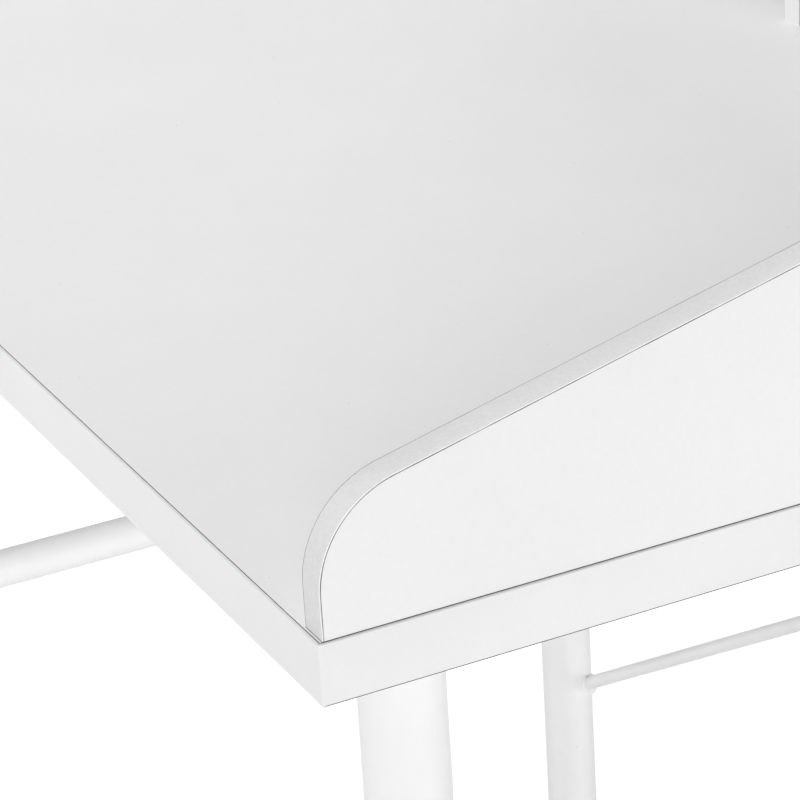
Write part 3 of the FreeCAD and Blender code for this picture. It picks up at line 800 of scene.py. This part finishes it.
class DESK_OT_leg_plates(bpy.types.Operator):
    """Builds the square plates that hold the legs under the desktop"""
    bl_idname = "desk.leg_plates"
    bl_label = "Build Leg Plates"

    def execute(self, context):
        radius = context.scene.desk_sizes.plate_round
        lower_round = 0.5 * MM
        for corner in CORNERS:
            node = f"leg_plate_{corner}"
            low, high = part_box(node)
            bm = bmesh.new()
            slab(bm, low, high)
            upright = [edge for edge in bm.edges if abs(edge.verts[0].co.z - edge.verts[1].co.z) > CLOSE]
            bevel(bm, upright, radius, 8)
            lower = [edge for edge in bm.edges if all(vertex.co.z < low.z + CLOSE for vertex in edge.verts)]
            bevel(bm, lower, lower_round, 3)
            piece(f"leg_plate_flange_{corner}", bm, "white_powder_coat", (node,))
        return {"FINISHED"}


class DESK_OT_stretchers(bpy.types.Operator):
    """Builds the side stretchers with ends shaped to the legs"""
    bl_idname = "desk.stretchers"
    bl_label = "Build Stretchers"

    def execute(self, context):
        segments = 72
        for side in SIDES:
            node, leg = f"side_stretcher_{side}", f"leg_front_{side}"
            centre, radius = middle(node), half_width(node)
            leg_radius, leg_y = half_width(leg), abs(middle(leg).y)
            sections = []
            for end in (-1, 1):
                ring = []
                for step in range(segments):
                    turned = TURN * step / segments
                    x = radius * math.cos(turned)
                    y = end * (leg_y - math.sqrt(leg_radius ** 2 - x ** 2))
                    ring.append(Vector((centre.x + x, y, centre.z + radius * math.sin(turned))))
                sections.append(ring)
            bm = bmesh.new()
            sweep(bm, sections)
            piece(f"stretcher_tube_{side}", bm, "white_powder_coat", (node,))
        dress("stretcher_plugs", "foot_plastic")
        return {"FINISHED"}


class DESK_OT_stretcher_bolts(bpy.types.Operator):
    """Builds the button-head bolts that hold the stretchers through the legs"""
    bl_idname = "desk.stretcher_bolts"
    bl_label = "Build Stretcher Bolts"

    def execute(self, context):
        boxes = islands("stretcher_bolts")
        places = []
        for low, high in boxes:
            centre = (low + high) / 2
            front = centre.y < 0
            turn = Matrix.Rotation(math.pi / 2 if front else -math.pi / 2, 4, "X")
            places.append(Matrix.Translation((centre.x, low.y if front else high.y, centre.z)) @ turn)
        piece("stretcher_bolt_set", copies(self.bolt(*boxes[0]), places), "zinc_plate", ("stretcher_bolts",))
        return {"FINISHED"}

    @staticmethod
    def bolt(low, high):
        """One bolt, head up and its top at height 0, with a hexagon socket and a rim that fits the leg."""
        leg_radius = half_width("leg_front_left")
        head, reach = (high.x - low.x) / 2, high.y - low.y
        shank, head_height, chamfer = 3 * MM, 3.3 * MM, 1 * MM
        profile = [(0, 0), (0.5 * head, 0)]
        profile += [(head * (0.5 + 0.5 * math.sin(turned)), -head_height * 0.8 * (1 - math.cos(turned)))
                    for turned in quarter(6, 1)]
        profile += [(head, -head_height), (shank, -head_height), (shank, chamfer - reach),
                    (shank - chamfer, -reach), (0, -reach)]
        bm = bmesh.new()
        lathe(bm, profile, 48)
        for vertex in bm.verts:
            if abs(vertex.co.z + head_height) < CLOSE and vertex.co.xy.length > head - CLOSE:
                vertex.co.z -= leg_radius - math.sqrt(leg_radius ** 2 - vertex.co.x ** 2)
        socket, floor, wall = 2.3 * MM, -2 * MM, -1.6 * MM
        hexagon = bmesh.new()
        lathe(hexagon, [(0, floor), (socket, wall), (socket, MM), (0, MM)], 6)
        return carve(bm, hexagon)


class DESK_OT_brace(bpy.types.Operator):
    """Builds the two crossing rods behind the knees and the flared welds at their ends"""
    bl_idname = "desk.brace"
    bl_label = "Build Brace"

    def execute(self, context):
        sizes = context.scene.desk_sizes
        radius = sizes.rod_diameter / 2
        sunk, weld_sunk = 1 * MM, 3 * MM
        leg = middle("leg_rear_left")
        leg_x, leg_radius = abs(leg.x), half_width("leg_rear_left")
        welds = bmesh.new()
        for rising, sign in (("right", 1), ("left", -1)):
            node = f"brace_rod_rising_{rising}"
            y = middle(node).y
            low_end = Vector((-sign * leg_x, y, sizes.rod_low))
            high_end = Vector((sign * leg_x, y, sizes.rod_high))
            along = (high_end - low_end).normalized()
            surface = math.sqrt(leg_radius ** 2 - (y - leg.y) ** 2) / abs(along.x)
            start = low_end + along * (surface - sunk)
            reach = (high_end - low_end).length - 2 * (surface - sunk)
            rod = bmesh.new()
            lathe(rod, [(0, 0), (radius, 0), (radius, reach), (0, reach)], 48, aimed(start, along))
            piece(f"brace_rod_{rising}", rod, "white_powder_coat", (node,))
            for end, way in ((low_end, along), (high_end, -along)):
                self.weld(welds, radius, sizes.weld_flare / 2, weld_sunk + sizes.weld_reach,
                          aimed(end + way * (surface - weld_sunk), way))
        piece("brace_weld_beads", welds, "white_powder_coat", ("brace_welds",), sharp=60)
        return {"FINISHED"}

    @staticmethod
    def weld(bm, rod_radius, flare, reach, place):
        """A bead that flares from the rod to the leg, with the faint ripples of its passes."""
        inside, curve, steps = 0.9 * rod_radius, 1.6, 10
        ripple_height, ripples, twist = 0.12 * MM, 11, 900
        profile = [(inside, 0), (flare, 0)]
        for step in range(1, steps + 1):
            share = step / steps
            profile.append((rod_radius + (flare - rod_radius) * (1 - share) ** curve, reach * share))
        profile.append((inside, reach))

        def ripple(turned, radius, height):
            swell = ripple_height * math.sin(ripples * turned + twist * height)
            return radius + (swell if rod_radius * 1.05 < radius < flare else 0)

        lathe(bm, profile, 72, place, ripple, loop=True)


class DESK_OT_screws(bpy.types.Operator):
    """Builds the pan-head plate screws and the countersunk panel and back screws"""
    bl_idname = "desk.screws"
    bl_label = "Build Screws"

    def execute(self, context):
        driven_up = Matrix.Rotation(math.pi, 4, "X")
        driven_forward = Matrix.Rotation(-math.pi / 2, 4, "X")
        for node, pan, turn, spot in (("plate_screws", True, driven_up, (0.5, 0.5, 0)),
                                      ("panel_screws", False, driven_up, (0.5, 0.5, 0)),
                                      ("back_screws", False, driven_forward, (0.5, 1, 0.5))):
            boxes = islands(node)
            reach = max(boxes[0][1] - boxes[0][0])
            places = [Matrix.Translation(low + (high - low) * Vector(spot)) @ turn for low, high in boxes]
            piece(f"{node}_set", copies(self.screw(pan, reach), places), "zinc_plate", (node,))
        return {"FINISHED"}

    @staticmethod
    def screw(pan, reach):
        """One wood screw, head up and its top at height 0, with a cross recess and a pointed shank."""
        head, shank, head_height, point = 4 * MM, 2 * MM, 2.4 * MM, 5 * MM
        domed = ((0, 0), (0.45, 0.05), (0.75, 0.25), (0.93, 0.55), (1, 0.85), (1, 1))
        flat = ((0, 0), (0.96, 0), (1, 0.06))
        profile = [(head * across, -head_height * down) for across, down in (domed if pan else flat)]
        profile += [(shank, -head_height), (shank, point - reach), (0, -reach)]
        bm = bmesh.new()
        lathe(bm, profile, 40)
        return cross_recess(bm, span=4.4 * MM, width=0.9 * MM, depth=1.4 * MM)


class DESK_OT_shelf_fittings(bpy.types.Operator):
    """Builds the cams under the shelf and finishes the bolts and dowels inside the joints"""
    bl_idname = "desk.shelf_fittings"
    bl_label = "Build Shelf Fittings"

    def execute(self, context):
        boxes = islands("shelf_cams")
        low, high = boxes[0]
        radius, depth = (high.x - low.x) / 2, high.z - low.z
        chamfer = 0.4 * MM
        bm = bmesh.new()
        lathe(bm, [(0, 0), (radius - chamfer, 0), (radius, -chamfer), (radius, -depth), (0, -depth)], 48)
        bm = cross_recess(bm, span=7 * MM, width=1.5 * MM, depth=2.5 * MM)
        turn = Matrix.Rotation(math.pi, 4, "X")
        places = [Matrix.Translation(((low.x + high.x) / 2, (low.y + high.y) / 2, low.z)) @ turn
                  for low, high in boxes]
        piece("shelf_cam_set", copies(bm, places), "zinc_plate", ("shelf_cams",))
        dress("shelf_cam_bolts", "zinc_plate")
        dress("dowels", "beech_dowel")
        return {"FINISHED"}


class DESK_OT_feet(bpy.types.Operator):
    """Builds the leg inserts and the levelling feet"""
    bl_idname = "desk.feet"
    bl_label = "Build Feet"

    def execute(self, context):
        for corner in CORNERS:
            place = under(f"leg_{corner}")
            self.insert(corner, place)
            self.pad(corner, place)
            self.stem(corner, place, context.scene.desk_sizes.thread_pitch)
        return {"FINISHED"}

    @staticmethod
    def insert(corner, place):
        """The plug in the leg's end: a rounded collar, a fluted plug and a plain bore."""
        node = f"foot_insert_{corner}"
        low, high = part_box(node)
        leg_low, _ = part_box(f"leg_{corner}")
        collar, bore, lip = half_width(node), 4.08 * MM, 0.8 * MM
        plug, flute_depth, flute_turns = collar - 1.6 * MM, 0.4 * MM, 10
        profile = [(bore, low.z + lip), (bore + lip, low.z), *rounded_lip(collar, low.z, lip),
                   (collar, leg_low.z), (plug, leg_low.z), (plug, high.z - lip), (plug - lip, high.z),
                   (bore, high.z)]

        def flute(turned, radius, height):
            grooved = height > leg_low.z and radius > plug - CLOSE
            return radius - (flute_depth * (1 - abs(math.sin(flute_turns * turned))) if grooved else 0)

        bm = bmesh.new()
        lathe(bm, profile, 80, place, flute, loop=True)
        piece(f"insert_plug_{corner}", bm, "foot_plastic", (node,))

    @staticmethod
    def pad(corner, place):
        """The pad: a ribbed rim, a drawn-in waist and a shallow ring under the stem's disc."""
        node = f"foot_pad_{corner}"
        low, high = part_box(node)
        stem_low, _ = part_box(f"foot_stem_{corner}")
        rim, rim_height, round_over, sole = half_width(node), 3 * MM, 0.7 * MM, 2 * MM
        top, chamfer, seat = 12 * MM, 0.5 * MM, 8.05 * MM
        rib_depth, rib_turns = 0.35 * MM, 18
        waist = high.z - low.z - rim_height - chamfer
        profile = [(0, low.z), (rim - sole, low.z), (rim - round_over, low.z), (rim, low.z + round_over),
                   (rim, low.z + rim_height)]
        for turned in quarter(8, 1):
            height = low.z + rim_height + waist * (1 - math.cos(turned))
            profile.append((top + (rim - top) * (1 - math.sin(turned)), height))
        profile += [(top - chamfer, high.z), (seat, high.z), (seat, stem_low.z), (0, stem_low.z)]

        def rib(turned, radius, height):
            ribbed = radius > rim - CLOSE
            return radius - (rib_depth * abs(math.sin(rib_turns * turned)) if ribbed else 0)

        bm = bmesh.new()
        lathe(bm, profile, 144, place, rib)
        piece(f"pad_ribbed_{corner}", bm, "foot_plastic", (node,), body=f"foot_{corner}")

    @staticmethod
    def stem(corner, place, pitch):
        """The stem: a disc held in the pad, a chamfered hexagon and a cut thread."""
        node = f"foot_stem_{corner}"
        low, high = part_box(node)
        _, pad_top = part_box(f"foot_pad_{corner}")
        disc, crest, root, flat, hexagon = half_width(node), 4 * MM, 3.4 * MM, 6.5 * MM, 5 * MM
        shank_foot = pad_top.z + hexagon
        corner_radius = flat / math.cos(math.pi / 6)
        chamfer = corner_radius - flat
        rows_per_pitch = 8
        steps = math.ceil((high.z - shank_foot) / pitch * rows_per_pitch)
        rows = [(crest, shank_foot + (high.z - shank_foot) * step / steps) for step in range(steps + 1)]

        def six_sided(turned, radius, height):
            sixth = (turned % (TURN / 6)) - TURN / 12
            return min(radius, flat / math.cos(sixth))

        def thread(turned, radius, height):
            phase = (height / pitch - turned / TURN) % 1
            taper = min(1, (high.z - height) / pitch)
            return root + (crest - root) * (1 - abs(2 * phase - 1)) * taper

        bm = bmesh.new()
        lathe(bm, [(0, low.z), (disc, low.z), (disc, pad_top.z), (0, pad_top.z)], 48, place)
        lathe(bm, [(0, pad_top.z), (flat, pad_top.z), (corner_radius, pad_top.z + chamfer),
                   (corner_radius, shank_foot - chamfer), (flat, shank_foot), (0, shank_foot)],
              96, place, six_sided)
        lathe(bm, [(0, shank_foot), *rows, (0, high.z)], 40, place, thread)
        piece(f"stem_threaded_{corner}", bm, "zinc_plate", (node,), body=f"foot_{corner}")


class DESK_OT_stage(bpy.types.Operator):
    """Sets up the floor, the lamps, the sky and the camera"""
    bl_idname = "desk.stage"
    bl_label = "Set Up Stage"

    def execute(self, context):
        studio = context.scene.desk_studio
        context.scene.view_settings.view_transform = "Standard"
        self.floor(studio)
        self.sky(context, studio)
        for name, power, place, size, glare in (
                ("key_lamp", studio.key_light, (9.2, -5.75, 2.45), 4.8, True),
                ("fill_lamp", studio.fill_light, (-1.6, -1.8, 1.7), 1.2, False),
                ("rear_lamp", studio.rear_light, (1.4, 2.4, 0.6), 1.2, False),
                ("top_lamp", studio.top_light, (-0.1, -0.3, 2.0), 1.0, True)):
            self.lamp(name, power, Vector(place), size, glare)
        self.camera(context, studio)
        return {"FINISHED"}

    @staticmethod
    def seen(tree):
        """1 for camera, glossy and transmission rays, by which the background is seen, and 0 for the rest."""
        rays = add(tree, "ShaderNodeLightPath").outputs
        mirror = maths(tree, "MAXIMUM", rays["Is Camera Ray"], rays["Is Glossy Ray"])
        return maths(tree, "MAXIMUM", mirror, rays["Is Transmission Ray"])

    def floor(self, studio):
        """A pale floor that lies under the lowest foot, however far the feet are screwed out."""
        half_size, glow_start, glow_end = 12, 0.2, 1.5
        pale = (0.9, 0.9, 0.9, 1)
        bm = bmesh.new()
        bmesh.ops.create_grid(bm, x_segments=1, y_segments=1, size=half_size)
        item = linked("floor", mesh_of("floor", bm))
        for corner in CORNERS:
            below = item.constraints.new("FLOOR")
            below.target = frame["bodies"][f"foot_{corner}"]
            below.floor_location = "FLOOR_NEGATIVE_Z"
        made = bpy.data.materials.new("pale_floor")
        made.use_nodes = True
        tree = made.node_tree
        tree.nodes.clear()
        paint = add(tree, "ShaderNodeBsdfDiffuse", {"Color": pale})
        away = add(tree, "ShaderNodeVectorMath", {0: own_place(tree)}, operation="LENGTH")
        white = add(tree, "ShaderNodeMapRange", {"Value": away.outputs["Value"],
                                                 "From Min": glow_start, "From Max": glow_end,
                                                 "To Min": studio.near_glow, "To Max": studio.far_glow})
        glow = maths(tree, "MULTIPLY", self.seen(tree), white.outputs["Result"])
        light = add(tree, "ShaderNodeEmission", {"Strength": glow})
        both = add(tree, "ShaderNodeAddShader", {0: paint.outputs[0], 1: light.outputs[0]})
        add(tree, "ShaderNodeOutputMaterial", {"Surface": both.outputs[0]})
        item.data.materials.append(made)

    def sky(self, context, studio):
        """White where it is seen, and weaker as a light from all round."""
        world = bpy.data.worlds.new("soft_sky")
        world.use_nodes = True
        tree = world.node_tree
        back = tree.nodes["Background"]
        back.inputs["Color"].default_value = (1, 1, 1, 1)
        tree.links.new(spread(tree, self.seen(tree), studio.ambient, 1), back.inputs["Strength"])
        context.scene.world = world

    @staticmethod
    def lamp(name, power, place, size, glare):
        """A square lamp aimed at the desktop, whose glare on satin faces can be turned off."""
        data = bpy.data.lights.new(name, "AREA")
        data.energy = power
        data.size = size
        item = linked(name, data)
        item.visible_glossy = glare
        item.matrix_world = aimed(place, middle("desktop") - place, "-Z")

    @staticmethod
    def camera(context, studio):
        """The main view, with its roll."""
        data = bpy.data.cameras.new("camera")
        data.sensor_width = 36
        data.lens = studio.focal_length
        data.clip_start = 0.01
        item = linked("camera", data)
        turn = (Matrix.Rotation(studio.azimuth, 4, "Z")
                @ Matrix.Rotation(math.pi / 2 - studio.elevation, 4, "X")
                @ Matrix.Rotation(studio.roll, 4, "Z"))
        item.matrix_world = Matrix.Translation(studio.position) @ turn
        context.scene.camera = item


STEPS = (DESK_OT_finishes, DESK_OT_boards, DESK_OT_straight_bands, DESK_OT_panel_bands, DESK_OT_glue_lines,
         DESK_OT_legs, DESK_OT_leg_plates, DESK_OT_stretchers, DESK_OT_stretcher_bolts, DESK_OT_brace,
         DESK_OT_screws, DESK_OT_shelf_fittings, DESK_OT_feet, DESK_OT_stage)


class DESK_PT_sidebar(bpy.types.Panel):
    """Sizes, finishes and steps of the computer desk"""
    bl_idname = "DESK_PT_sidebar"
    bl_label = "Computer Desk"
    bl_space_type = "VIEW_3D"
    bl_region_type = "UI"
    bl_category = "Desk"

    def draw(self, context):
        scene = context.scene
        for group in (scene.desk_sizes, scene.desk_finishes, scene.desk_studio):
            for name in group.__annotations__:
                self.layout.prop(group, name)
        for step in STEPS:
            self.layout.operator(step.bl_idname)


CLASSES = (DeskSizes, DeskFinishes, DeskStudio, *STEPS, DESK_PT_sidebar)


def register():
    for item in CLASSES:
        bpy.utils.register_class(item)
    bpy.types.Scene.desk_sizes = PointerProperty(type=DeskSizes)
    bpy.types.Scene.desk_finishes = PointerProperty(type=DeskFinishes)
    bpy.types.Scene.desk_studio = PointerProperty(type=DeskStudio)


def unregister():
    del bpy.types.Scene.desk_studio
    del bpy.types.Scene.desk_finishes
    del bpy.types.Scene.desk_sizes
    for item in reversed(CLASSES):
        bpy.utils.unregister_class(item)


def main():
    """Builds the whole desk step by step."""
    register()
    for step in STEPS:
        family, name = step.bl_idname.split(".")
        getattr(getattr(bpy.ops, family), name)()


if __name__ == "__main__":
    main()
